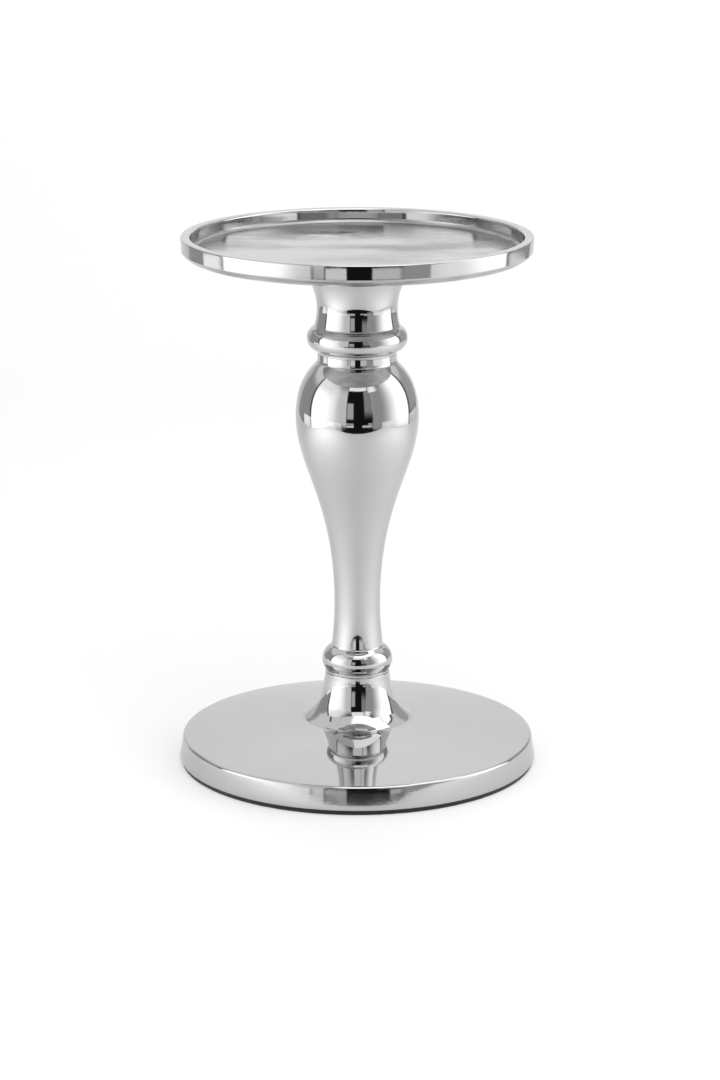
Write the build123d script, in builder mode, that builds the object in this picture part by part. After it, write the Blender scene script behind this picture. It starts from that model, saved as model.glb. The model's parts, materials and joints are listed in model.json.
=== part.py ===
"""Polished cast pillar-candle holder: five stacked castings clamped by one central tie rod.

Units are millimetres. The origin is on the surface that the candlestick stands on, at the middle
of its base, and +Z runs up the stem. Every outline is a half section (radius, height) that is
revolved about Z.
"""
import os
from math import cos, radians, sin, tan

from build123d import *

# ---- driving dimensions -------------------------------------------------------------------

TOTAL_HEIGHT = 232.7
TRAY_DIAMETER = 150.0
BASE_DIAMETER = 156.4

# felt pad
FELT_THICKNESS = 2.0
FELT_INSET = 0.9
FELT_EDGE_ROUND = 0.3

# base plate
BASE_BAND_TOP = 12.0
BASE_DRAFT_DEG = 9.5
BASE_EDGE_ROUND = 1.5
BASE_FOOT_ROUND = 0.5
BASE_CROWN = 0.6
FLARE_RADIUS = 25.0
FLARE_HEIGHT = 19.27
FLARE_PULL = 1.2
SEAT_RADIUS = 19.3
SEAT_HEIGHT = 23.6
SEAT_PULL = 3.4
SEAT_SLOPE_DEG = 43.0
BASE_RIM_WIDTH = 4.8
BASE_WALL = 3.2
BASE_CORE_ROUND = 1.5
BASE_BOSS_RADIUS = 14.0
BASE_BOSS_HEIGHT = 14.6
BASE_ROOF_HEIGHT = 16.6

# foot bell
BELL_LIP_RADIUS = 14.0
BELL_LIP_ROUND = 0.5
BELL_LIP_SLOPE_DEG = 4.5
BELL_LIP_PULL = 5.8
BELL_FLARE = Vector(17.5, 26.1)
BELL_FLARE_SLOPE_DEG = 31.0
BELL_FLARE_PULL = 3.2
BELL_CORE_RADIUS = 8.0
BELL_CORE_HEIGHT = 31.0

# baluster
BALUSTER_BOTTOM = 40.3
FILLET_BAND_RADIUS = 13.95
FILLET_BAND_HEIGHT = 1.05
FILLET_BAND_ROUND = 0.25
LOWER_GROOVE_RADIUS = 13.6
LOWER_GROOVE_HEIGHT = 0.3
LOWER_RING_RADIUS = 15.33
LOWER_RING_HEIGHT = 45.6
LOWER_RING_SECTION = 6.75
SHAFT_FOOT_RADIUS = 11.22
SHAFT_SPREAD_DEG = 6.2
SHAFT_PULL = 6.0
SHAFT_CORNER_ROUND = 1.0
WAIST_RADIUS = 9.97
WAIST_HEIGHT = 70.5
WAIST_DROP = 7.0
WAIST_REACH = 47.0
BULB_RADIUS = 26.51
BULB_HEIGHT = 154.2
BULB_REACH_DOWN = 23.0
BULB_REACH_UP = 13.6
SHOULDER_REACH = 4.4
SHOULDER_SLOPE = 1.05
SHOULDER_HEIGHT = 178.4
GROOVE_RADIUS = 16.97
GROOVE_CORNER_ROUND = 2.2
BALUSTER_TOP = 181.9
BALUSTER_CORE_BOTTOM = 96.0
BALUSTER_CORE_RADIUS = 20.8
BALUSTER_CORE_HEIGHT = 152.0
BALUSTER_CORE_REACH = 22.0
BALUSTER_NECK_CORE = 9.0
BALUSTER_NECK_CORE_HEIGHT = 174.5

# upper collar
UPPER_RING_RADIUS = 21.62
UPPER_RING_HEIGHT = 188.5
UPPER_RING_LOWER_SECTION = 5.3
UPPER_RING_UPPER_SECTION = 5.8
COLLAR_FOOT_RADIUS = 17.1
COLLAR_FOOT_ROUND = 0.3
COLLAR_CORNER_ROUND = 1.3
NECK_FOOT_RADIUS = 18.35
NECK_RADIUS = 17.28
NECK_HEIGHT = 201.3
NECK_CURVE = 24.0
COLLAR_FLANGE_THICKNESS = 3.0
COLLAR_FLANGE_ROUND = 0.6

# candle tray
TRAY_DEPTH = 6.2
TRAY_FLOOR_THICKNESS = 3.4
TRAY_BAND_HEIGHT = 6.1
TRAY_BAND_TAPER = 0.25
TRAY_UNDERSIDE_RADIUS = 68.0
TRAY_RIM_INNER_RADIUS = 70.9
TRAY_WALL_LEAN = 0.5
TRAY_OUTER_LIP_ROUND = 0.6
TRAY_INNER_LIP_ROUND = 1.0
TRAY_FLOOR_ROUND = 2.0
TRAY_BAND_FOOT_ROUND = 0.3
TRAY_BOSS_RADIUS = 10.0
TRAY_BOSS_LENGTH = 15.0
TRAY_BOSS_ROUND = 0.5
TRAY_TAPPED_DEPTH = 13.4

# locating spigots, in sockets of the casting below or above
WIDE_SPIGOT_RADIUS = 11.0
NARROW_SPIGOT_RADIUS = 8.0
SPIGOT_HEIGHT = 1.7
SOCKET_DEPTH = 1.8
SPIGOT_CLEARANCE = 0.05

# tie rod and its fasteners, M8
ROD_RADIUS = 4.0
ROD_CHAMFER = 0.8
ROD_TOP_GAP = 1.0
ROD_TAIL = 0.9
BORE_RADIUS = 4.5
WASHER_RADIUS = 12.0
WASHER_HOLE_RADIUS = 4.2
WASHER_THICKNESS = 2.0
SPRING_WASHER_RADIUS = 7.4
SPRING_WASHER_HOLE_RADIUS = 4.1
SPRING_WASHER_THICKNESS = 2.0
SPRING_WASHER_SLIT = 0.8
SPRING_WASHER_SLANT = 1.4
NUT_ACROSS_FLATS = 13.0
NUT_HEIGHT = 6.5
NUT_CHAMFER_DEG = 30.0
NUT_SIDES = 6

# ---- derived dimensions -------------------------------------------------------------------

TRAY_RADIUS = TRAY_DIAMETER / 2
BASE_RADIUS = BASE_DIAMETER / 2
TRAY_FLOOR = TOTAL_HEIGHT - TRAY_DEPTH
TRAY_UNDERSIDE = TRAY_FLOOR - TRAY_FLOOR_THICKNESS
TRAY_BAND_BOTTOM = TOTAL_HEIGHT - TRAY_BAND_HEIGHT
TRAY_BOSS_BOTTOM = TRAY_UNDERSIDE - TRAY_BOSS_LENGTH
BASE_BAND_RADIUS = BASE_RADIUS - (BASE_BAND_TOP - FELT_THICKNESS) * tan(radians(BASE_DRAFT_DEG))
WASHER_BOTTOM = BASE_BOSS_HEIGHT - WASHER_THICKNESS
SPRING_WASHER_BOTTOM = WASHER_BOTTOM - SPRING_WASHER_THICKNESS
NUT_BOTTOM = SPRING_WASHER_BOTTOM - NUT_HEIGHT
ROD_BOTTOM = NUT_BOTTOM - ROD_TAIL
ROD_TOP = TRAY_BOSS_BOTTOM + TRAY_TAPPED_DEPTH - ROD_TOP_GAP


def height_on_ring(section, crown_radius, radius):
    """Height from a ring's crown to where its round section has come in to the given radius."""
    drop = crown_radius - radius
    return (section**2 - (section - drop) ** 2) ** 0.5


def down_slope(degrees):
    """Unit direction that runs down and outwards, at an angle from straight down."""
    return Vector(sin(radians(degrees)), -cos(radians(degrees)))


def round_corner(sketch, corner, radius):
    """Round the corner of a half section that is nearest to the given point."""
    fillet(sketch.vertices().sort_by_distance(corner)[0], radius)


def finish(piece, name):
    """Label a finished piece and write it to its own STEP file."""
    piece.part.label = name
    export_step(piece.part, f"parts/{name}.step")


os.makedirs("parts", exist_ok=True)

# ---- felt pad: a disc glued to the rim of the base ----------------------------------------

with BuildPart() as felt_pad:
    with BuildSketch():
        Circle(BASE_RADIUS - FELT_INSET)
    extrude(amount=FELT_THICKNESS)
    fillet(felt_pad.edges().filter_by(GeomType.CIRCLE), FELT_EDGE_ROUND)
finish(felt_pad, "felt_pad")

# ---- base plate: a thin low dome, hollow below, with a boss for the tie rod ----------------

with BuildPart() as base_plate:
    rim_inner = BASE_RADIUS - BASE_RIM_WIDTH
    core_outer = BASE_BAND_RADIUS - BASE_WALL
    core_top = BASE_BAND_TOP - BASE_WALL
    with BuildSketch(Plane.XZ) as base_section:
        with BuildLine():
            Line((BASE_RADIUS, FELT_THICKNESS), (BASE_BAND_RADIUS, BASE_BAND_TOP))
            crown = SagittaArc(
                (BASE_BAND_RADIUS, BASE_BAND_TOP), (FLARE_RADIUS, FLARE_HEIGHT), -BASE_CROWN
            )
            Bezier(
                crown @ 1,
                (crown @ 1) + (crown % 1) * FLARE_PULL,
                Vector(SEAT_RADIUS, SEAT_HEIGHT) + down_slope(SEAT_SLOPE_DEG) * SEAT_PULL,
                (SEAT_RADIUS, SEAT_HEIGHT),
            )
            Polyline(
                (SEAT_RADIUS, SEAT_HEIGHT),
                (WIDE_SPIGOT_RADIUS + SPIGOT_CLEARANCE, SEAT_HEIGHT),
                (WIDE_SPIGOT_RADIUS + SPIGOT_CLEARANCE, SEAT_HEIGHT - SOCKET_DEPTH),
                (BORE_RADIUS, SEAT_HEIGHT - SOCKET_DEPTH),
                (BORE_RADIUS, BASE_BOSS_HEIGHT),
                (BASE_BOSS_RADIUS, BASE_BOSS_HEIGHT),
                (BASE_BOSS_RADIUS, BASE_ROOF_HEIGHT),
                (core_outer, core_top),
                (rim_inner, FELT_THICKNESS),
                (BASE_RADIUS, FELT_THICKNESS),
            )
        make_face()
        round_corner(base_section, (BASE_BAND_RADIUS, BASE_BAND_TOP), BASE_EDGE_ROUND)
        round_corner(base_section, (BASE_RADIUS, FELT_THICKNESS), BASE_FOOT_ROUND)
        round_corner(base_section, (core_outer, core_top), BASE_CORE_ROUND)
        round_corner(base_section, (BASE_BOSS_RADIUS, BASE_ROOF_HEIGHT), BASE_CORE_ROUND)
    revolve(axis=Axis.Z)
finish(base_plate, "base_plate")

# ---- foot bell: trumpet that spreads from the lower ring on to the base --------------------

with BuildPart() as foot_bell:
    with BuildSketch(Plane.XZ) as bell_section:
        with BuildLine():
            bell_lip = Vector(BELL_LIP_RADIUS, BALUSTER_BOTTOM)
            Bezier(
                bell_lip,
                bell_lip + down_slope(BELL_LIP_SLOPE_DEG) * BELL_LIP_PULL,
                BELL_FLARE - down_slope(BELL_FLARE_SLOPE_DEG) * BELL_FLARE_PULL,
                BELL_FLARE,
            )
            TangentArc(
                BELL_FLARE,
                (SEAT_RADIUS, SEAT_HEIGHT),
                tangent=down_slope(BELL_FLARE_SLOPE_DEG),
            )
            Polyline(
                (BELL_LIP_RADIUS, BALUSTER_BOTTOM),
                (NARROW_SPIGOT_RADIUS, BALUSTER_BOTTOM),
                (NARROW_SPIGOT_RADIUS, BALUSTER_BOTTOM + SPIGOT_HEIGHT),
                (BORE_RADIUS, BALUSTER_BOTTOM + SPIGOT_HEIGHT),
                (BORE_RADIUS, BELL_CORE_HEIGHT + BELL_CORE_RADIUS - BORE_RADIUS),
                (BELL_CORE_RADIUS, BELL_CORE_HEIGHT),
                (BELL_CORE_RADIUS, SEAT_HEIGHT - SPIGOT_HEIGHT),
                (WIDE_SPIGOT_RADIUS, SEAT_HEIGHT - SPIGOT_HEIGHT),
                (WIDE_SPIGOT_RADIUS, SEAT_HEIGHT),
                (SEAT_RADIUS, SEAT_HEIGHT),
            )
        make_face()
        round_corner(bell_section, (BELL_LIP_RADIUS, BALUSTER_BOTTOM), BELL_LIP_ROUND)
    revolve(axis=Axis.Z)
finish(foot_bell, "foot_bell")

# ---- baluster: lower ring, slim shaft and bulb, cored inside the bulb ----------------------

with BuildPart() as baluster:
    band_top = BALUSTER_BOTTOM + FILLET_BAND_HEIGHT
    groove_top = band_top + LOWER_GROOVE_HEIGHT
    ring_start = LOWER_RING_HEIGHT - groove_top
    ring_start_radius = (
        LOWER_RING_RADIUS - LOWER_RING_SECTION + (LOWER_RING_SECTION**2 - ring_start**2) ** 0.5
    )
    shaft_foot = LOWER_RING_HEIGHT + height_on_ring(
        LOWER_RING_SECTION, LOWER_RING_RADIUS, SHAFT_FOOT_RADIUS
    )
    socket_radius = NARROW_SPIGOT_RADIUS + SPIGOT_CLEARANCE
    top_socket_radius = WIDE_SPIGOT_RADIUS + SPIGOT_CLEARANCE
    with BuildSketch(Plane.XZ) as baluster_section:
        with BuildLine():
            Polyline(
                (FILLET_BAND_RADIUS, BALUSTER_BOTTOM),
                (FILLET_BAND_RADIUS, band_top),
                (LOWER_GROOVE_RADIUS, band_top),
                (LOWER_GROOVE_RADIUS, groove_top),
                (ring_start_radius, groove_top),
            )
            ThreePointArc(
                (ring_start_radius, groove_top),
                (LOWER_RING_RADIUS, LOWER_RING_HEIGHT),
                (SHAFT_FOOT_RADIUS, shaft_foot),
            )
            Bezier(
                (SHAFT_FOOT_RADIUS, shaft_foot),
                Vector(SHAFT_FOOT_RADIUS, shaft_foot) - down_slope(SHAFT_SPREAD_DEG) * SHAFT_PULL,
                (WAIST_RADIUS, WAIST_HEIGHT - WAIST_DROP),
                (WAIST_RADIUS, WAIST_HEIGHT),
            )
            Bezier(
                (WAIST_RADIUS, WAIST_HEIGHT),
                (WAIST_RADIUS, WAIST_HEIGHT + WAIST_REACH),
                (BULB_RADIUS, BULB_HEIGHT - BULB_REACH_DOWN),
                (BULB_RADIUS, BULB_HEIGHT),
            )
            Bezier(
                (BULB_RADIUS, BULB_HEIGHT),
                (BULB_RADIUS, BULB_HEIGHT + BULB_REACH_UP),
                (GROOVE_RADIUS + SHOULDER_REACH * SHOULDER_SLOPE, SHOULDER_HEIGHT - SHOULDER_REACH),
                (GROOVE_RADIUS, SHOULDER_HEIGHT),
            )
            Polyline(
                (GROOVE_RADIUS, SHOULDER_HEIGHT),
                (GROOVE_RADIUS, BALUSTER_TOP),
                (top_socket_radius, BALUSTER_TOP),
                (top_socket_radius, BALUSTER_TOP - SOCKET_DEPTH),
                (BALUSTER_NECK_CORE, BALUSTER_TOP - SOCKET_DEPTH),
                (BALUSTER_NECK_CORE, BALUSTER_NECK_CORE_HEIGHT),
            )
            Bezier(
                (BALUSTER_NECK_CORE, BALUSTER_NECK_CORE_HEIGHT),
                (BALUSTER_CORE_RADIUS, BALUSTER_NECK_CORE_HEIGHT),
                (BALUSTER_CORE_RADIUS, BALUSTER_CORE_HEIGHT),
            )
            Bezier(
                (BALUSTER_CORE_RADIUS, BALUSTER_CORE_HEIGHT),
                (BALUSTER_CORE_RADIUS, BALUSTER_CORE_HEIGHT - BALUSTER_CORE_REACH),
                (BORE_RADIUS, BALUSTER_CORE_BOTTOM + BALUSTER_CORE_REACH),
                (BORE_RADIUS, BALUSTER_CORE_BOTTOM),
            )
            Polyline(
                (BORE_RADIUS, BALUSTER_CORE_BOTTOM),
                (BORE_RADIUS, BALUSTER_BOTTOM + SOCKET_DEPTH),
                (socket_radius, BALUSTER_BOTTOM + SOCKET_DEPTH),
                (socket_radius, BALUSTER_BOTTOM),
                (FILLET_BAND_RADIUS, BALUSTER_BOTTOM),
            )
        make_face()
        round_corner(baluster_section, (FILLET_BAND_RADIUS, BALUSTER_BOTTOM), FILLET_BAND_ROUND)
        round_corner(baluster_section, (FILLET_BAND_RADIUS, band_top), FILLET_BAND_ROUND)
        round_corner(baluster_section, (SHAFT_FOOT_RADIUS, shaft_foot), SHAFT_CORNER_ROUND)
        round_corner(baluster_section, (GROOVE_RADIUS, SHOULDER_HEIGHT), GROOVE_CORNER_ROUND)
    revolve(axis=Axis.Z)
finish(baluster, "baluster")

# ---- upper collar: fat ring and waisted neck, flared under the tray ------------------------

with BuildPart() as upper_collar:
    ring_bottom = UPPER_RING_HEIGHT - height_on_ring(
        UPPER_RING_LOWER_SECTION, UPPER_RING_RADIUS, COLLAR_FOOT_RADIUS
    )
    ring_top = UPPER_RING_HEIGHT + height_on_ring(
        UPPER_RING_UPPER_SECTION, UPPER_RING_RADIUS, NECK_FOOT_RADIUS
    )
    flange_bottom = TRAY_UNDERSIDE - COLLAR_FLANGE_THICKNESS
    flange_rise = flange_bottom - NECK_HEIGHT
    flange_radius = NECK_RADIUS + NECK_CURVE - (NECK_CURVE**2 - flange_rise**2) ** 0.5
    boss_socket_radius = TRAY_BOSS_RADIUS + SPIGOT_CLEARANCE
    boss_socket_floor = TRAY_BOSS_BOTTOM - (SOCKET_DEPTH - SPIGOT_HEIGHT)
    with BuildSketch(Plane.XZ) as collar_section:
        with BuildLine():
            Line((COLLAR_FOOT_RADIUS, BALUSTER_TOP), (COLLAR_FOOT_RADIUS, ring_bottom))
            TangentArc(
                (UPPER_RING_RADIUS, UPPER_RING_HEIGHT), (COLLAR_FOOT_RADIUS, ring_bottom),
                tangent=(0, -1),
            )
            TangentArc(
                (UPPER_RING_RADIUS, UPPER_RING_HEIGHT), (NECK_FOOT_RADIUS, ring_top),
                tangent=(0, 1),
            )
            TangentArc(
                (NECK_RADIUS, NECK_HEIGHT), (NECK_FOOT_RADIUS, ring_top), tangent=(0, -1)
            )
            TangentArc(
                (NECK_RADIUS, NECK_HEIGHT), (flange_radius, flange_bottom), tangent=(0, 1)
            )
            Polyline(
                (flange_radius, flange_bottom),
                (flange_radius, TRAY_UNDERSIDE),
                (boss_socket_radius, TRAY_UNDERSIDE),
                (boss_socket_radius, boss_socket_floor),
                (BORE_RADIUS, boss_socket_floor),
                (BORE_RADIUS, BALUSTER_TOP - SPIGOT_HEIGHT),
                (WIDE_SPIGOT_RADIUS, BALUSTER_TOP - SPIGOT_HEIGHT),
                (WIDE_SPIGOT_RADIUS, BALUSTER_TOP),
                (COLLAR_FOOT_RADIUS, BALUSTER_TOP),
            )
        make_face()
        round_corner(collar_section, (COLLAR_FOOT_RADIUS, BALUSTER_TOP), COLLAR_FOOT_ROUND)
        round_corner(collar_section, (COLLAR_FOOT_RADIUS, ring_bottom), COLLAR_CORNER_ROUND)
        round_corner(collar_section, (NECK_FOOT_RADIUS, ring_top), COLLAR_CORNER_ROUND)
        round_corner(collar_section, (flange_radius, flange_bottom), COLLAR_FLANGE_ROUND)
    revolve(axis=Axis.Z)
finish(upper_collar, "upper_collar")

# ---- candle tray: shallow dish with a tapped blind boss below ------------------------------

with BuildPart() as candle_tray:
    band_foot_radius = TRAY_RADIUS - TRAY_BAND_TAPER
    wall_foot_radius = TRAY_RIM_INNER_RADIUS - TRAY_WALL_LEAN
    with BuildSketch(Plane.XZ) as tray_section:
        with BuildLine():
            TangentArc(
                (TRAY_UNDERSIDE_RADIUS, TRAY_UNDERSIDE),
                (band_foot_radius, TRAY_BAND_BOTTOM),
                tangent=(1, 0),
            )
            Polyline(
                (band_foot_radius, TRAY_BAND_BOTTOM),
                (TRAY_RADIUS, TOTAL_HEIGHT),
                (TRAY_RIM_INNER_RADIUS, TOTAL_HEIGHT),
                (wall_foot_radius, TRAY_FLOOR),
                (0, TRAY_FLOOR),
                (0, TRAY_BOSS_BOTTOM + TRAY_TAPPED_DEPTH),
                (ROD_RADIUS, TRAY_BOSS_BOTTOM + TRAY_TAPPED_DEPTH),
                (ROD_RADIUS, TRAY_BOSS_BOTTOM),
                (TRAY_BOSS_RADIUS, TRAY_BOSS_BOTTOM),
                (TRAY_BOSS_RADIUS, TRAY_UNDERSIDE),
                (TRAY_UNDERSIDE_RADIUS, TRAY_UNDERSIDE),
            )
        make_face()
        round_corner(tray_section, (band_foot_radius, TRAY_BAND_BOTTOM), TRAY_BAND_FOOT_ROUND)
        round_corner(tray_section, (TRAY_RADIUS, TOTAL_HEIGHT), TRAY_OUTER_LIP_ROUND)
        round_corner(tray_section, (TRAY_RIM_INNER_RADIUS, TOTAL_HEIGHT), TRAY_INNER_LIP_ROUND)
        round_corner(tray_section, (wall_foot_radius, TRAY_FLOOR), TRAY_FLOOR_ROUND)
        round_corner(tray_section, (TRAY_BOSS_RADIUS, TRAY_BOSS_BOTTOM), TRAY_BOSS_ROUND)
    revolve(axis=Axis.Z)
finish(candle_tray, "candle_tray")

# ---- tie rod: M8 stud from the nut up into the tray's boss ---------------------------------

with BuildPart() as tie_rod:
    with BuildSketch(Plane.XY.offset(ROD_BOTTOM)):
        Circle(ROD_RADIUS)
    extrude(amount=ROD_TOP - ROD_BOTTOM)
    chamfer(tie_rod.edges().filter_by(GeomType.CIRCLE), ROD_CHAMFER)
finish(tie_rod, "tie_rod")

# ---- base washer: wide flat washer against the boss of the base ----------------------------

with BuildPart() as base_washer:
    with BuildSketch(Plane.XY.offset(WASHER_BOTTOM)):
        Circle(WASHER_RADIUS)
        Circle(WASHER_HOLE_RADIUS, mode=Mode.SUBTRACT)
    extrude(amount=WASHER_THICKNESS)
finish(base_washer, "base_washer")

# ---- spring washer: split ring pressed flat by the nut -------------------------------------

with BuildPart() as spring_washer:
    slit_top = SPRING_WASHER_BOTTOM + SPRING_WASHER_THICKNESS
    with BuildSketch(Plane.XY.offset(SPRING_WASHER_BOTTOM)):
        Circle(SPRING_WASHER_RADIUS)
        Circle(SPRING_WASHER_HOLE_RADIUS, mode=Mode.SUBTRACT)
    extrude(amount=SPRING_WASHER_THICKNESS)
    with BuildSketch(Plane.XZ):
        with BuildLine():
            Polyline(
                (0, SPRING_WASHER_BOTTOM),
                (SPRING_WASHER_SLIT, SPRING_WASHER_BOTTOM),
                (SPRING_WASHER_SLIT + SPRING_WASHER_SLANT, slit_top),
                (SPRING_WASHER_SLANT, slit_top),
                close=True,
            )
        make_face()
    extrude(amount=-SPRING_WASHER_RADIUS, mode=Mode.SUBTRACT)
finish(spring_washer, "spring_washer")

# ---- base nut: M8 hexagon nut, corners chamfered at both ends ------------------------------

with BuildPart() as base_nut:
    nut_inner = NUT_ACROSS_FLATS / 2
    nut_outer = nut_inner / cos(radians(180 / NUT_SIDES))
    chamfer_drop = (nut_outer - nut_inner) * tan(radians(NUT_CHAMFER_DEG))
    with BuildSketch(Plane.XY.offset(NUT_BOTTOM)):
        RegularPolygon(nut_inner, side_count=NUT_SIDES, major_radius=False)
        Circle(ROD_RADIUS, mode=Mode.SUBTRACT)
    extrude(amount=NUT_HEIGHT)
    with BuildSketch(Plane.XZ):
        for level, drop in ((NUT_BOTTOM, chamfer_drop), (NUT_BOTTOM + NUT_HEIGHT, -chamfer_drop)):
            with BuildLine():
                Polyline(
                    (nut_inner, level),
                    (nut_outer, level),
                    (nut_outer, level + drop),
                    close=True,
                )
            make_face()
    revolve(axis=Axis.Z, mode=Mode.SUBTRACT)
finish(base_nut, "base_nut")
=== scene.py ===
import json
from math import atan2, ceil, cos, pi, radians, sin

import bpy
import numpy as np
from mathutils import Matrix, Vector, noise


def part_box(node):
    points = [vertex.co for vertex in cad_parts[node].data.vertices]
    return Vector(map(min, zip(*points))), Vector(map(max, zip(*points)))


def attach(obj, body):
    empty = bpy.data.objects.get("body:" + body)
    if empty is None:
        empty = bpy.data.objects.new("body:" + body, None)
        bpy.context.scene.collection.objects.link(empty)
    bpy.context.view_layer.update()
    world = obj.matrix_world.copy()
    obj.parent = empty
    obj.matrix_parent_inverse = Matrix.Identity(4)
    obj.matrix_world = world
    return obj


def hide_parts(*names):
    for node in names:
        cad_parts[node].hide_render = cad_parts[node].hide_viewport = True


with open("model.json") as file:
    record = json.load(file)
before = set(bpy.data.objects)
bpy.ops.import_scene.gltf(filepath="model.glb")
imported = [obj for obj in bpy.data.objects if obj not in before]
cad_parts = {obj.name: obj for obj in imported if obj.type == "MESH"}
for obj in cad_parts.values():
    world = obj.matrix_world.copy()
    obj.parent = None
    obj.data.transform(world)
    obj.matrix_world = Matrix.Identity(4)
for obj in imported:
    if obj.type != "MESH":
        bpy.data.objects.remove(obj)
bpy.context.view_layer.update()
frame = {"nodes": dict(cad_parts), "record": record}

MM = 0.001

# ---- what the frame says about sizes ----------------------------------------------------------

tray_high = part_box("candle_tray")[1]
pad_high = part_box("felt_pad")[1]
mounts = {mount["name"]: mount for mount in frame["record"]["mounts"]}
TRAY_FLOOR = mounts["candle_seat"]["pos_m"][2]
JUST_UNDER_FLOOR = TRAY_FLOOR - 1 * MM
TRAY_RADIUS = tray_high.x
RIM_WIDTH = 4.4 * MM
BAND_DEPTH = 6.4 * MM

# ---- half sections read back from the frame ---------------------------------------------------

SEAM_GAP = 1e-6
KEY_DIGITS = 6
CORNER_TURN = radians(14)
ARC_STEP = radians(2.5)
LONG_TO_SHORT = 2.5
SHORTEST = 1e-12
LARGEST_STEP = 4 * MM
TRAY_LARGEST_STEP = 2 * MM


def seam_graph(node):
    """Neighbours of every vertex that a CAD node has on the half plane through +X."""
    mesh = frame["nodes"][node].data
    places = np.array([v.co for v in mesh.vertices])
    on_seam = (np.abs(places[:, 1]) < SEAM_GAP) & (places[:, 0] > -SEAM_GAP)
    keys = [(round(x, KEY_DIGITS), round(z, KEY_DIGITS)) for x, _, z in places.tolist()]
    near = {}
    for edge in mesh.edges:
        a, b = edge.vertices
        if on_seam[a] and on_seam[b] and keys[a] != keys[b]:
            near.setdefault(keys[a], set()).add(keys[b])
            near.setdefault(keys[b], set()).add(keys[a])
    return near


def half_section(node):
    """The node's outline as (radius, height) points in order, and whether it closes on itself."""
    near = seam_graph(node)
    ends = sorted(k for k, n in near.items() if len(n) == 1)
    here = max(ends, key=lambda k: k[1]) if ends else max(near)
    path = [here]
    before = None
    while True:
        onward = sorted(k for k in near[here] if k != before and k not in path[1:])
        if before is None:
            onward = onward[-1:]
        if not onward or onward[0] == path[0]:
            break
        before, here = here, onward[0]
        path.append(here)
    points = np.array(path)
    if ends:
        first = (0.0, points[0][1])
        last = (0.0, points[-1][1])
        points = np.vstack([first, points, last])
    return points, not ends


def turn_between(a, b):
    """Angle in radians from direction a to direction b."""
    return abs(atan2(a[0] * b[1] - a[1] * b[0], a[0] * b[0] + a[1] * b[1]))


def blend_tangent(into, out):
    """Direction of the outline at a smooth vertex, from the segments on its two sides."""
    length_in, length_out = np.hypot(*into), np.hypot(*out)
    unit_in, unit_out = into / length_in, out / length_out
    if length_in > LONG_TO_SHORT * length_out:
        return unit_in
    if length_out > LONG_TO_SHORT * length_in:
        return unit_out
    mixed = unit_in * length_out + unit_out * length_in
    return mixed / np.hypot(*mixed)


def corners_and_tangents(points, steps, closed):
    """Which points of the outline are corners, and the direction at each of the smooth ones."""
    count = len(points)
    spans = len(steps)
    corner = []
    tangent = []
    for i in range(count):
        at_end = not closed and i in (0, count - 1)
        into = steps[i - 1] if not at_end or i else steps[0]
        out = steps[i] if i < spans else steps[-1]
        sharp = at_end or turn_between(into, out) > CORNER_TURN
        corner.append(sharp and not at_end)
        tangent.append(None if sharp else blend_tangent(into, out))
    return corner, tangent


def on_curve(start, step, leave, arrive, t):
    """Place at t, from 0 to 1, on the smooth curve that leaves start and arrives a step away."""
    length = np.hypot(*step)
    return (
        (2 * t**3 - 3 * t**2 + 1) * start
        + (t**3 - 2 * t**2 + t) * length * leave
        + (3 * t**2 - 2 * t**3) * (start + step)
        + (t**3 - t**2) * length * arrive
    )


def refine(points, closed, largest_step):
    """Outline with its arcs drawn finer; returns the points and which of them are corners."""
    count = len(points)
    spans = count if closed else count - 1
    steps = [points[(i + 1) % count] - points[i] for i in range(spans)]
    corner, tangent = corners_and_tangents(points, steps, closed)
    made, flags = [], []
    for i in range(spans):
        start, step = points[i], steps[i]
        length = np.hypot(*step)
        unit = step / length
        j = (i + 1) % count
        leave = unit if tangent[i] is None else tangent[i]
        arrive = unit if tangent[j] is None else tangent[j]
        bend = turn_between(leave, unit) + turn_between(unit, arrive)
        pieces = max(1, ceil(bend / ARC_STEP), ceil(length / largest_step))
        for k in range(pieces):
            made.append(on_curve(start, step, leave, arrive, k / pieces))
            flags.append(corner[i] and k == 0)
    if not closed:
        made.append(points[-1])
        flags.append(False)
    return np.array(made), flags


# ---- lathed castings --------------------------------------------------------------------------


def section_normals(points, closed):
    """Outward unit normal of the outline at each point."""
    ahead = np.roll(points, -1, axis=0)
    behind = np.roll(points, 1, axis=0)
    if not closed:
        ahead[-1], behind[0] = points[-1], points[0]
    along = ahead - behind
    along /= np.maximum(np.hypot(along[:, 0], along[:, 1]), SHORTEST)[:, None]
    across = np.stack([along[:, 1], -along[:, 0]], axis=1)
    area = np.sum(points[:, 0] * ahead[:, 1] - ahead[:, 0] * points[:, 1])
    return across if area > 0 else -across


def waviness(place, scale, seed):
    """Smooth noise between about -1 and 1 with the given size of its waves, in metres."""
    return noise.noise(place / scale + Vector((seed, seed * 1.7, -seed)))


def skin_places(points, normals, kept, segments, relief):
    """Places of the skin's vertices, and the number of the one at each (outline point, turn).

    kept holds the outline points that get no relief; those on the axis make a single vertex.
    """
    verts, index = [], {}
    for i, (radius, height) in enumerate(points):
        for s in range(1 if radius < SEAM_GAP else segments):
            angle = 2 * pi * s / segments
            way = Vector((cos(angle), sin(angle), 0))
            place = way * radius + Vector((0, 0, height))
            normal = way * normals[i][0] + Vector((0, 0, normals[i][1]))
            if i not in kept:
                place = place + normal * relief(place, radius, height)
            index[i, s] = len(verts)
            verts.append(place)
    return verts, index


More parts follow.
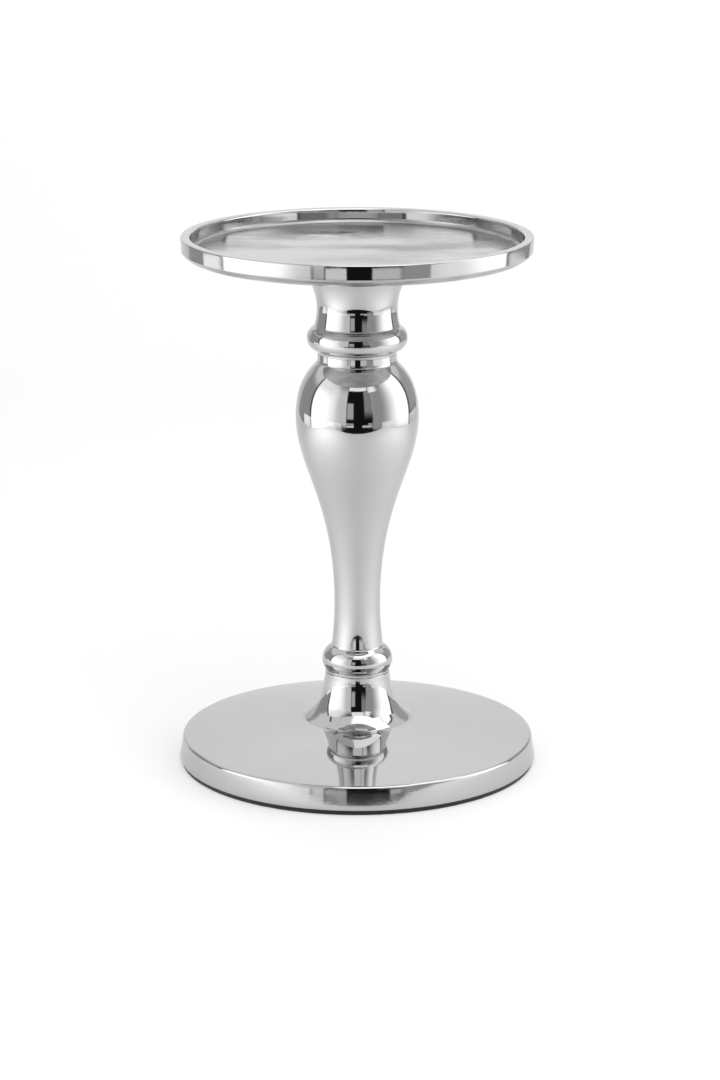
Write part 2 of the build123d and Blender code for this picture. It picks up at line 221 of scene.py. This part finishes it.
def skin_faces(points, closed, corners, poles, segments, index):
    """Faces between neighbouring rings, and the pairs of vertices along sharp rings."""
    faces, sharp_pairs = [], set()
    rows = len(points) if closed else len(points) - 1
    for i in range(rows):
        j = (i + 1) % len(points)
        for s in range(segments):
            t = (s + 1) % segments
            a, b = index[i, 0 if i in poles else s], index[i, 0 if i in poles else t]
            c, d = index[j, 0 if j in poles else t], index[j, 0 if j in poles else s]
            loop = [a, d, c, b]
            faces.append([v for k, v in enumerate(loop) if v not in loop[:k]])
            if corners[i]:
                sharp_pairs.add((min(a, b), max(a, b)))
    return faces, sharp_pairs


def lathe(name, node, segments, relief, largest_step=LARGEST_STEP):
    """Solid of revolution on a CAD node's outline, with a cast or buffed relief on its skin.

    relief(place, radius, height) gives how far the skin stands out at a place, in metres.
    """
    raw, closed = half_section(node)
    points, corners = refine(raw, closed, largest_step)
    normals = section_normals(points, closed)
    poles = {i for i in range(len(points)) if points[i][0] < SEAM_GAP}
    kept = poles | {i for i in range(len(points)) if corners[i]}
    verts, index = skin_places(points, normals, kept, segments, relief)
    faces, sharp_pairs = skin_faces(points, closed, corners, poles, segments, index)
    mesh = bpy.data.meshes.new(name)
    mesh.from_pydata(verts, [], faces)
    piece = bpy.data.objects.new(name, mesh)
    bpy.context.scene.collection.objects.link(piece)
    mesh.shade_smooth()
    for edge in mesh.edges:
        if tuple(sorted(edge.vertices)) in sharp_pairs:
            edge.use_edge_sharp = True
    orient_outwards(mesh)
    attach(piece, "root")
    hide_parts(node)
    return piece


def orient_outwards(mesh):
    """Turns every face to point out of the solid, by the sign of its volume."""
    volume = 0.0
    for face in mesh.polygons:
        volume += face.center.dot(face.normal) * face.area
    if volume < 0:
        mesh.flip_normals()
    mesh.update()


# ---- skin reliefs: how far each casting's skin stands out, in metres ----------------------------

POLISH_WAVE = 26 * MM
POLISH_DEPTH = 0.02 * MM
CAST_WAVE = 5 * MM
CAST_RIPPLE = 13 * MM
CAST_RIPPLE_SHARE = 1.3
CAST_DEPTH = 0.05 * MM
FLOOR_MARGIN = 6 * MM
FELT_WAVE = 2.2 * MM
FELT_DEPTH = 0.12 * MM
FELT_EDGE = 0.5 * MM


def buffed(seed):
    """The faint unevenness that hand buffing leaves on a polished casting."""

    def relief(place, radius, height):
        return POLISH_DEPTH * waviness(place, POLISH_WAVE, seed)

    return relief


def tray_relief(place, radius, height):
    """Buffed outside, and an as-cast orange-peel floor inside the rim."""
    outside = POLISH_DEPTH * waviness(place, POLISH_WAVE, seed=3.1)
    on_floor = height > JUST_UNDER_FLOOR and radius < TRAY_RADIUS - FLOOR_MARGIN
    if not on_floor:
        return outside
    fine = waviness(place, CAST_WAVE, seed=5.3)
    broad = waviness(place, CAST_RIPPLE, seed=8.9)
    return outside + CAST_DEPTH * (fine + CAST_RIPPLE_SHARE * broad)


def felt_relief(place, radius, height):
    """Slightly ragged edge of the cut felt; its glued top and its resting face stay flat."""
    if radius < pad_high.x - FELT_EDGE:
        return 0.0
    return -FELT_DEPTH * abs(waviness(place, FELT_WAVE, seed=2.7))


# ---- shader helpers ---------------------------------------------------------------------------


class Nodes:
    """Short forms for building one material's node tree."""

    def __init__(self, name):
        self.material = bpy.data.materials.new(name)
        self.material.use_nodes = True
        self.tree = self.material.node_tree
        self.shader = self.tree.nodes["Principled BSDF"]
        self.place = self.tree.nodes.new("ShaderNodeTexCoord").outputs["Object"]

    def link(self, source, target):
        self.tree.links.new(source, target)

    def add(self, kind, **settings):
        node = self.tree.nodes.new(kind)
        for key, value in settings.items():
            setattr(node, key, value)
        return node

    def noise(self, scale, detail=2.0, stretch=(1, 1, 1)):
        """Noise over the object's own metres; scale is in waves per metre."""
        mapping = self.add("ShaderNodeMapping")
        mapping.inputs["Scale"].default_value = stretch
        texture = self.add("ShaderNodeTexNoise")
        texture.inputs["Scale"].default_value = scale
        texture.inputs["Detail"].default_value = detail
        self.link(self.place, mapping.inputs["Vector"])
        self.link(mapping.outputs["Vector"], texture.inputs["Vector"])
        return texture.outputs["Fac"]

    def dots(self, scale, size):
        """Small scattered dots: 1 in a dot, 0 elsewhere."""
        cells = self.add("ShaderNodeTexVoronoi", feature="F1")
        cells.inputs["Scale"].default_value = scale
        self.link(self.place, cells.inputs["Vector"])
        return self.ramp(cells.outputs["Distance"], (0.0, size), (1.0, 0.0))

    def ramp(self, source, ends, values, smooth=False):
        """Maps source from the two ends onto the two values, clamped, eased at both if smooth."""
        ranged = self.add("ShaderNodeMapRange", clamp=True)
        ranged.interpolation_type = "SMOOTHSTEP" if smooth else "LINEAR"
        ranged.inputs["From Min"].default_value = ends[0]
        ranged.inputs["From Max"].default_value = ends[1]
        ranged.inputs["To Min"].default_value = values[0]
        ranged.inputs["To Max"].default_value = values[1]
        self.link(source, ranged.inputs["Value"])
        return ranged.outputs["Result"]

    def maths(self, operation, a, b):
        """One Math node; b may be a number or a socket."""
        node = self.add("ShaderNodeMath", operation=operation)
        self.link(a, node.inputs[0])
        if isinstance(b, (int, float)):
            node.inputs[1].default_value = b
        else:
            self.link(b, node.inputs[1])
        return node.outputs[0]

    def colour(self, factor, low, high):
        """Colour between low and high by a factor."""
        mixed = self.add("ShaderNodeMix", data_type="RGBA")
        self.link(factor, mixed.inputs["Factor"])
        mixed.inputs["A"].default_value = (*low, 1)
        mixed.inputs["B"].default_value = (*high, 1)
        self.link(mixed.outputs["Result"], self.shader.inputs["Base Color"])

    def bump(self, height, distance):
        """Bump from a height that runs from 0 to 1 over the given distance in metres."""
        node = self.add("ShaderNodeBump")
        node.inputs["Strength"].default_value = 1.0
        node.inputs["Distance"].default_value = distance
        self.link(height, node.inputs["Height"])
        self.link(node.outputs["Normal"], self.shader.inputs["Normal"])

    def axes(self):
        """The place as its X, Y and Z sockets."""
        split = self.add("ShaderNodeSeparateXYZ")
        self.link(self.place, split.inputs["Vector"])
        return split.outputs["X"], split.outputs["Y"], split.outputs["Z"]

    def glow(self, paper, strength):
        """Matt surface of a grey that lets out white light of the given strength."""
        self.shader.inputs["Base Color"].default_value = (paper, paper, paper, 1)
        self.shader.inputs["Specular IOR Level"].default_value = 0.0
        self.shader.inputs["Emission Color"].default_value = (1, 1, 1, 1)
        self.link(strength, self.shader.inputs["Emission Strength"])


NICKEL_DARK = (0.53, 0.532, 0.53)
NICKEL_LIGHT = (0.58, 0.58, 0.577)


def polished_nickel():
    """Mirror-buffed nickel plate: haze in patches, hair-fine buffing lines, a few pinholes."""
    n = Nodes("polished_nickel")
    n.shader.inputs["Metallic"].default_value = 1.0
    haze = n.noise(45, detail=4)
    n.colour(haze, NICKEL_DARK, NICKEL_LIGHT)
    lines = n.noise(900, detail=3, stretch=(1, 1, 9))
    haze_rough = n.ramp(haze, (0.35, 0.75), (0.025, 0.06))
    line_rough = n.ramp(lines, (0.4, 0.7), (0.0, 0.02))
    n.link(n.maths("ADD", haze_rough, line_rough), n.shader.inputs["Roughness"])
    pits = n.dots(220, 0.045)
    grain = n.maths("MULTIPLY", n.noise(700, detail=2), 0.25)
    n.bump(n.maths("SUBTRACT", grain, pits), 0.012 * MM)
    return n.material


CAST_DARK = (0.32, 0.32, 0.32)
CAST_LIGHT = (0.56, 0.56, 0.557)
CAST_MIDDLE = (0.4, 0.6)
CLOUD_SHARE = 0.65


def cast_nickel():
    """Inside and underside of the tray, plated over the raw casting: cloudy, grainy, pitted."""
    n = Nodes("cast_nickel")
    n.shader.inputs["Metallic"].default_value = 1.0
    cloud = n.noise(26, detail=6, stretch=(0.6, 1, 1))
    streaks = n.noise(70, detail=4, stretch=(0.35, 1, 1))
    clouds = n.maths("MULTIPLY", cloud, CLOUD_SHARE)
    bright = n.maths("ADD", clouds, n.maths("MULTIPLY", streaks, 1 - CLOUD_SHARE))
    n.colour(n.ramp(bright, CAST_MIDDLE, (0.0, 1.0)), CAST_DARK, CAST_LIGHT)
    n.link(n.ramp(bright, CAST_MIDDLE, (0.3, 0.1)), n.shader.inputs["Roughness"])
    peel = n.noise(480, detail=3)
    pits = n.dots(300, 0.06)
    n.bump(n.maths("SUBTRACT", peel, pits), 0.035 * MM)
    return n.material


def zinc_steel():
    """Bright zinc plate on turned steel: bluish, with drawn lines and a faint yellow bloom."""
    n = Nodes("zinc_steel")
    n.shader.inputs["Metallic"].default_value = 1.0
    bloom = n.noise(130, detail=4)
    n.colour(bloom, (0.55, 0.58, 0.62), (0.66, 0.64, 0.56))
    n.link(n.ramp(bloom, (0.3, 0.7), (0.22, 0.4)), n.shader.inputs["Roughness"])
    n.bump(n.noise(1500, detail=2, stretch=(1, 1, 6)), 0.02 * MM)
    return n.material


def black_felt():
    """Pressed black felt: short tangled fibres and a soft sheen."""
    n = Nodes("black_felt")
    tangle = n.noise(1600, detail=6)
    n.colour(tangle, (0.008, 0.008, 0.009), (0.035, 0.035, 0.038))
    n.shader.inputs["Roughness"].default_value = 0.95
    n.shader.inputs["Sheen Weight"].default_value = 0.25
    n.shader.inputs["Sheen Roughness"].default_value = 0.6
    n.bump(tangle, 0.25 * MM)
    return n.material


NICKEL = polished_nickel()
CAST = cast_nickel()
ZINC = zinc_steel()
FELT = black_felt()

# ---- the pieces -------------------------------------------------------------------------------

FINE = 288
STEM = 192


def paint(piece, material):
    piece.data.materials.clear()
    piece.data.materials.append(material)


def build_tray():
    """The tray: polished rim and side band, as-cast inside and underside."""
    tray = lathe("tray_casting", "candle_tray", FINE, tray_relief, largest_step=TRAY_LARGEST_STEP)
    paint(tray, NICKEL)
    tray.data.materials.append(CAST)
    for face in tray.data.polygons:
        middle = face.center
        inside = middle.z > JUST_UNDER_FLOOR and middle.xy.length < TRAY_RADIUS - RIM_WIDTH
        below = middle.z < tray_high.z - BAND_DEPTH
        face.material_index = int(inside or below)


def build_castings():
    build_tray()
    for name, node, seed, segments in (
        ("collar_casting", "upper_collar", 11.3, STEM),
        ("baluster_casting", "baluster", 23.9, STEM),
        ("bell_casting", "foot_bell", 31.7, STEM),
        ("base_casting", "base_plate", 47.1, FINE),
    ):
        paint(lathe(name, node, segments, buffed(seed)), NICKEL)


def build_pad():
    pad = lathe("felt_disc", "felt_pad", FINE, felt_relief)
    paint(pad, FELT)


def finish_hardware():
    for node in ("tie_rod", "base_washer", "spring_washer", "base_nut"):
        mesh = frame["nodes"][node].data
        mesh.materials.clear()
        mesh.materials.append(ZINC)


build_castings()
build_pad()
finish_hardware()

# ---- stage: table, backdrop, surround and lights -----------------------------------------------

TABLE_FRONT = -0.5
TABLE_SIDE = 0.62
TABLE_BACK = 0.75
SWEEP_RADIUS = 0.35
SWEEP_TOP = 1.9
SWEEP_STEPS = 24
PAPER_WHITE = 0.6
# Painted glow on the paper: dimmest on the table, brighter towards the back and up the wall.
TABLE_GLOW = 0.21
WALL_GLOW = 0.45
WALL_LOW_GLOW = 0.29
WALL_RISE = (0.1, 0.7)
TABLE_FADE_START = 0.2
# Painted pools of light on the table: middle, reach and strength of extra glow under each side's
# softbox.
LEFT_POOL = ((-0.44, -0.2), 0.47, 0.9)
RIGHT_POOL = ((0.45, -0.1), 0.47, 0.55)
CAMERA_LIFT = 0.15


def stage_mesh(name, verts, faces, material, to_camera=True):
    mesh = bpy.data.meshes.new(name)
    mesh.from_pydata(verts, [], faces)
    mesh.shade_smooth()
    mesh.materials.append(material)
    piece = bpy.data.objects.new(name, mesh)
    bpy.context.scene.collection.objects.link(piece)
    piece.visible_camera = to_camera
    return piece


def pool(n, x, y, middle, reach, strength):
    """Painted pool of light on the table, made as glow: strength at its middle, nothing past its
    reach.
    """
    across = n.maths("SUBTRACT", x, middle[0])
    along = n.maths("SUBTRACT", y, middle[1])
    square = n.maths("ADD", n.maths("MULTIPLY", across, across), n.maths("MULTIPLY", along, along))
    distance = n.maths("POWER", square, 0.5)
    return n.ramp(distance, (0.0, reach), (strength, 0.0), smooth=True)


def white_paper():
    """Pale glowing paper: painted light pools under the side softboxes, painted glow up the wall.
    """
    n = Nodes("white_paper")
    n.shader.inputs["Roughness"].default_value = 0.9
    x, y, z = n.axes()
    ends = (TABLE_FADE_START, TABLE_BACK + SWEEP_RADIUS)
    # painted glow, rising from the table to the wall and on up the wall
    reach = n.ramp(y, ends, (TABLE_GLOW, WALL_LOW_GLOW))
    climb = n.ramp(z, WALL_RISE, (0.0, WALL_GLOW - WALL_LOW_GLOW))
    # painted pools of light, added to the paper's glow
    pools = n.maths("ADD", pool(n, x, y, *LEFT_POOL), pool(n, x, y, *RIGHT_POOL))
    glow = n.maths("ADD", n.maths("ADD", reach, climb), pools)
    lift = n.maths("MULTIPLY", n.add("ShaderNodeLightPath").outputs["Is Camera Ray"], CAMERA_LIFT)
    n.glow(PAPER_WHITE, n.maths("ADD", glow, lift))
    return n.material


def build_sweep():
    """Table top that curves up into the backdrop."""
    side = [(TABLE_FRONT, 0.0)]
    for k in range(SWEEP_STEPS + 1):
        angle = pi / 2 * k / SWEEP_STEPS
        side.append((TABLE_BACK + SWEEP_RADIUS * sin(angle), SWEEP_RADIUS * (1 - cos(angle))))
    side.append((TABLE_BACK + SWEEP_RADIUS, SWEEP_TOP))
    verts = [(x, y, z) for y, z in side for x in (-TABLE_SIDE, TABLE_SIDE)]
    faces = [(2 * k, 2 * k + 1, 2 * k + 3, 2 * k + 2) for k in range(len(side) - 1)]
    stage_mesh("sweep", verts, faces, white_paper())


SCREEN_RADIUS = 1.05
SCREEN_HALF_TURN = 150
SCREEN_LOW = -0.6
SCREEN_HIGH = 1.5
SCREEN_STEP_DEG = 5
UNLIT = 0.01
HARD_EDGE = 0.001

# Lit panels on the surround: bearings in degrees (0 towards the camera, positive to its right)
# with the width over which each side fades, heights in metres with their fade, and brightness.
LIT_PANELS = (
    # what, left, fade, right, fade, bottom, fade, top, fade, brightness
    ("left softbox, below", -96, 4, -36, 36, -0.6, 0.0, 0.9, 0.5, 0.8),
    ("left softbox, above", -96, 4, -30, 40, -0.6, 0.0, 2.0, 0.9, 1.3),
    ("left softbox, spill", -66, 24, -19, 2, -0.12, 0.2, 1.6, 0.9, 0.85),
    ("left floor, far", -117, 3, -94, 3, -0.6, 0.0, 0.03, 0.02, 1.0),
    ("left floor, near", -62, 14, -28, 2, -0.6, 0.0, 0.04, 0.04, 0.6),
    ("front strip, left end", -28, 2, -20, 1, -0.06, 0.02, 0.03, 0.02, 0.3),
    ("front strip, left, low", -20, 1, -6, 1, -0.055, 0.01, -0.01, 0.01, 0.95),
    ("front strip, left, high", -20, 1, -6, 1, -0.005, 0.005, 0.025, 0.005, 0.6),
    ("window", -19, 1, -6, 2, 0.08, 0.05, 0.52, 0.06, 0.55),
    ("front strip, right, low", 9, 1, 31, 6, -0.055, 0.01, -0.01, 0.01, 0.78),
    ("front strip, right, high", 19, 2, 31, 6, -0.005, 0.005, 0.025, 0.005, 0.62),
    ("door", 12, 3, 31, 2, 0.08, 0.25, 1.0, 0.05, 0.32),
    ("wall over the window", -20, 2, 24, 4, 0.98, 0.06, 1.6, 0.0, 1.3),
    ("wall over the door", 22, 4, 50, 14, 0.88, 0.06, 1.6, 0.0, 1.1),
    ("right wall", 27, 4, 112, 4, -0.12, 0.06, 1.6, 0.7, 0.42),
    ("right floor, near", 46, 2, 75, 22, -0.6, 0.0, 0.04, 0.04, 0.6),
    ("right softbox", 45, 45, 113, 5, -0.4, 0.5, 1.6, 0.2, 1.6),
    ("right floor, far", 112, 1, 142, 4, -0.6, 0.0, 0.03, 0.02, 0.75),
    ("right back wall, low", 112, 6, 150, 0, -0.1, 0.2, 1.6, 0.0, 0.5),
    ("right back wall, high", 112, 6, 150, 0, 0.55, 0.2, 1.6, 0.0, 0.4),
    ("left back wall", -150, 0, -96, 4, -0.2, 0.2, 1.6, 0.0, 0.4),
    ("left back wall, low", -150, 0, -134, 8, -0.2, 0.2, 0.6, 0.2, 0.34),
    ("left back wall, high", -150, 0, -96, 4, 0.55, 0.25, 1.6, 0.0, 0.5),
)


def window(n, source, low, low_fade, high, high_fade):
    """1 between low and high, fading to 0 over the fades that lie inside the two ends."""
    rise = n.ramp(source, (low, low + max(low_fade, HARD_EDGE)), (0.0, 1.0), smooth=True)
    fall = n.ramp(source, (high - max(high_fade, HARD_EDGE), high), (1.0, 0.0), smooth=True)
    return n.maths("MULTIPLY", rise, fall)


def surround_glow():
    """The studio as the metal sees it: softboxes left and right, greys behind, dark in front."""
    n = Nodes("surround_glow")
    x, y, height = n.axes()
    ahead = n.maths("MULTIPLY", y, -1.0)
    bearing = n.maths("MULTIPLY", n.maths("ARCTAN2", x, ahead), 180 / pi)
    total = None
    for _, left, left_fade, right, right_fade, low, low_fade, high, high_fade, light in LIT_PANELS:
        wide = window(n, bearing, left, left_fade, right, right_fade)
        tall = window(n, height, low, low_fade, high, high_fade)
        panel = n.maths("MULTIPLY", n.maths("MULTIPLY", wide, tall), light)
        total = panel if total is None else n.maths("ADD", total, panel)
    n.glow(0, n.maths("ADD", total, UNLIT))
    return n.material


def plan_point(bearing_deg, distance):
    """Point on the table's plan; bearing 0 is towards the camera, positive to its right."""
    bearing = radians(bearing_deg)
    return distance * sin(bearing), -distance * cos(bearing)


def build_surround():
    """Upright screen round the front and sides, seen only in reflections."""
    verts = []
    steps = 2 * SCREEN_HALF_TURN // SCREEN_STEP_DEG
    for k in range(steps + 1):
        x, y = plan_point(-SCREEN_HALF_TURN + k * SCREEN_STEP_DEG, SCREEN_RADIUS)
        verts += [(x, y, SCREEN_LOW), (x, y, SCREEN_HIGH)]
    faces = [(2 * k, 2 * k + 2, 2 * k + 3, 2 * k + 1) for k in range(steps)]
    stage_mesh("surround", verts, faces, surround_glow(), to_camera=False)


CEILING_HEIGHT = 1.5
CEILING_SIDE = 1.05
CEILING_FRONT = -1.05
CEILING_BACK = 0.75
CEILING_DIM = 0.9
CEILING_BRIGHT = 2.0
CEILING_CHANGE = (-0.3, -0.15)


def build_ceiling():
    """Overhead softbox: dimmer to the left of the camera than to its right."""
    n = Nodes("ceiling_glow")
    x = n.axes()[0]
    n.glow(0, n.ramp(x, CEILING_CHANGE, (CEILING_DIM, CEILING_BRIGHT), smooth=True))
    verts = [
        (-CEILING_SIDE, CEILING_FRONT, CEILING_HEIGHT),
        (-CEILING_SIDE, CEILING_BACK, CEILING_HEIGHT),
        (CEILING_SIDE, CEILING_BACK, CEILING_HEIGHT),
        (CEILING_SIDE, CEILING_FRONT, CEILING_HEIGHT),
    ]
    stage_mesh("ceiling", verts, [(0, 1, 2, 3)], n.material, to_camera=False)


STUDIO_DARK = (0.012, 0.012, 0.013, 1)
STUDIO_PALE = (0.95, 0.95, 0.95, 1)


def build_world():
    """Dark studio beyond the surround; the camera itself sees it pale."""
    world = bpy.data.worlds.new("studio")
    bpy.context.scene.world = world
    world.use_nodes = True
    tree = world.node_tree
    tree.nodes.clear()
    out = tree.nodes.new("ShaderNodeOutputWorld")
    path = tree.nodes.new("ShaderNodeLightPath")
    dark = tree.nodes.new("ShaderNodeBackground")
    dark.inputs["Color"].default_value = STUDIO_DARK
    pale = tree.nodes.new("ShaderNodeBackground")
    pale.inputs["Color"].default_value = STUDIO_PALE
    mix = tree.nodes.new("ShaderNodeMixShader")
    tree.links.new(path.outputs["Is Camera Ray"], mix.inputs["Fac"])
    tree.links.new(dark.outputs["Background"], mix.inputs[1])
    tree.links.new(pale.outputs["Background"], mix.inputs[2])
    tree.links.new(mix.outputs["Shader"], out.inputs["Surface"])


build_sweep()
build_surround()
build_ceiling()
build_world()

# ---- camera -----------------------------------------------------------------------------------

CAMERA_DISTANCE = 1.3794
CAMERA_SIDE = 0.0012
CAMERA_HEIGHT = 0.4649
CAMERA_PITCH_DEG = 14.86
LENS_MM = 109.57
SENSOR_MM = 36.0

lens = bpy.data.cameras.new("camera")
lens.lens = LENS_MM
lens.sensor_width = SENSOR_MM
camera = bpy.data.objects.new("camera", lens)
camera.location = (CAMERA_SIDE, -CAMERA_DISTANCE, CAMERA_HEIGHT)
camera.rotation_euler = (radians(90 - CAMERA_PITCH_DEG), 0, 0)
bpy.context.scene.collection.objects.link(camera)
bpy.context.scene.camera = camera
bpy.context.scene.view_settings.view_transform = "Standard"
